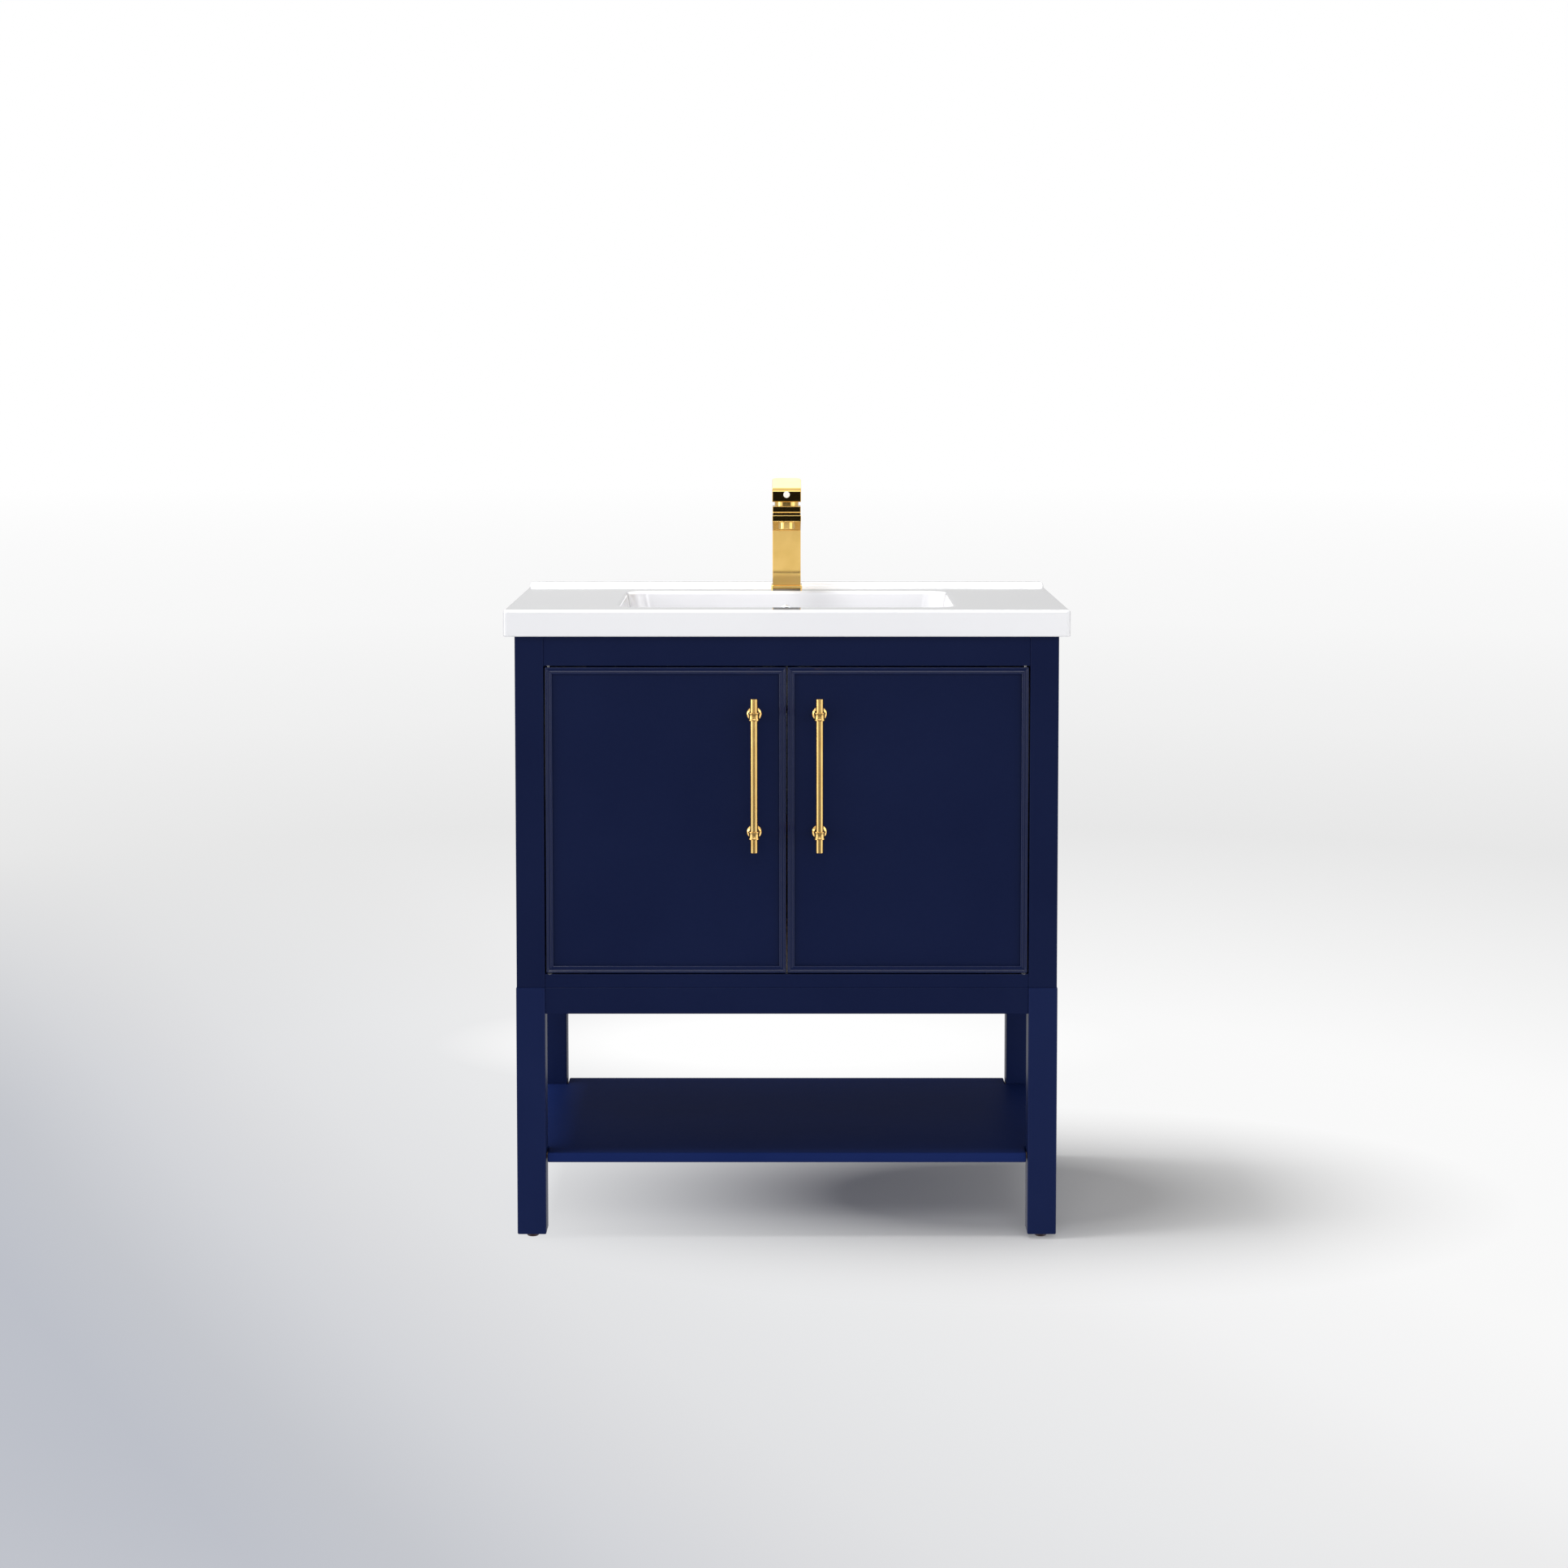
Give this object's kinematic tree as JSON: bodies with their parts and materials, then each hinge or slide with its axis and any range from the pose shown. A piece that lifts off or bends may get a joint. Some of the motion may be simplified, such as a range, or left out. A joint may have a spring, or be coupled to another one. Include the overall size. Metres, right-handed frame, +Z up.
{
  "type": "bathroom vanity cabinet",
  "caption": "Free-standing vanity: two-door box on an open stand with a shelf, ceramic sink top and square single-lever faucet.",
  "frame": {"origin": "on the floor, under the middle of the whole object: width, and depth with its pulls", "axes": "+Z up, -Y out of the front (the doors), +X to the right of someone who faces the doors"},
  "size_m": [0.762, 0.491, 1.023],
  "materials": {
    "lacquer": "satin navy lacquer on wood",
    "board": "clear-coated plywood",
    "ceramic": "white gloss glaze",
    "satin_gold": "satin brushed gold",
    "polished_gold": "polished gold",
    "brass": "plain turned brass",
    "chrome": "polished chrome",
    "steel": "zinc-plated steel",
    "seal": "matt rubber",
    "white_plastic": "moulded nylon",
    "dot": "gloss white enamel dot",
    "glide": "dark moulded nylon glide"
  },
  "bodies": {
    "cabinet": {"back_bottom_rail": "board", "back_panel": "board", "cabinet_floor": "board", "catch_block": "board", "door_catches": "white_plastic", "drain_flange": "chrome", "drain_gasket": "seal", "drain_nut": "white_plastic", "drain_tail": "chrome", "faucet_aerator": "polished_gold", "faucet_base_plate": "polished_gold", "faucet_body": "polished_gold", "faucet_gasket": "seal", "faucet_nut": "brass", "faucet_shank": "brass", "foot_glides": "glide", "frame_dowels": "board", "front_bottom_rail": "lacquer", "front_top_rail": "lacquer", "hinge_frame_leaves": "steel", "hinge_frame_screws": "steel", "hinge_washers": "white_plastic", "leg_back_left": "lacquer", "leg_back_right": "lacquer", "leg_front_left": "lacquer", "leg_front_right": "lacquer", "lower_shelf": "lacquer", "overflow_ring": "chrome", "post_back_left": "lacquer", "post_back_right": "lacquer", "post_front_left": "lacquer", "post_front_right": "lacquer", "side_panel_left": "lacquer", "side_panel_right": "lacquer", "sink_bowl": "ceramic", "sink_top": "ceramic", "stand_back_rail": "lacquer", "stand_front_rail": "lacquer", "stand_rail_left": "lacquer", "stand_rail_right": "lacquer", "stand_screws": "steel", "wall_rail": "board"},
    "left_door": {"door_panel_left": "lacquer", "door_moulding_left": "lacquer", "door_fittings_left": "steel", "hinge_door_leaves_left": "steel", "pull_bar_left": "satin_gold", "pull_posts_left": "satin_gold"},
    "right_door": {"door_panel_right": "lacquer", "door_moulding_right": "lacquer", "door_fittings_right": "steel", "hinge_door_leaves_right": "steel", "pull_bar_right": "satin_gold", "pull_posts_right": "satin_gold"},
    "stopper": {"drain_stopper": "chrome"},
    "lever_base": {"faucet_stem": "polished_gold"},
    "lever": {"faucet_handle": "polished_gold", "handle_pin": "steel", "faucet_indicator": "dot"}
  },
  "joints": [
    {"name": "left_door_hinge", "type": "hinge", "parent": "cabinet", "child": "left_door", "pos_m": [-0.3215, -0.2045, 0.575], "axis": [0, 0, -1], "range_deg": [0, 100]},
    {"name": "right_door_hinge", "type": "hinge", "parent": "cabinet", "child": "right_door", "pos_m": [0.3215, -0.2045, 0.575], "axis": [0, 0, 1], "range_deg": [0, 100]},
    {"name": "stopper_lift", "type": "slide", "parent": "cabinet", "child": "stopper", "axis": [0, 0, 1], "range_m": [0, 0.009]},
    {"name": "lever_turn", "type": "hinge", "parent": "cabinet", "child": "lever_base", "pos_m": [0, 0.176, 0.986], "axis": [0, 0, 1], "range_deg": [-45, 45]},
    {"name": "lever_lift", "type": "hinge", "parent": "lever_base", "child": "lever", "pos_m": [0, 0.188, 0.994], "axis": [-1, 0, 0], "range_deg": [0, 20]}
  ]
}
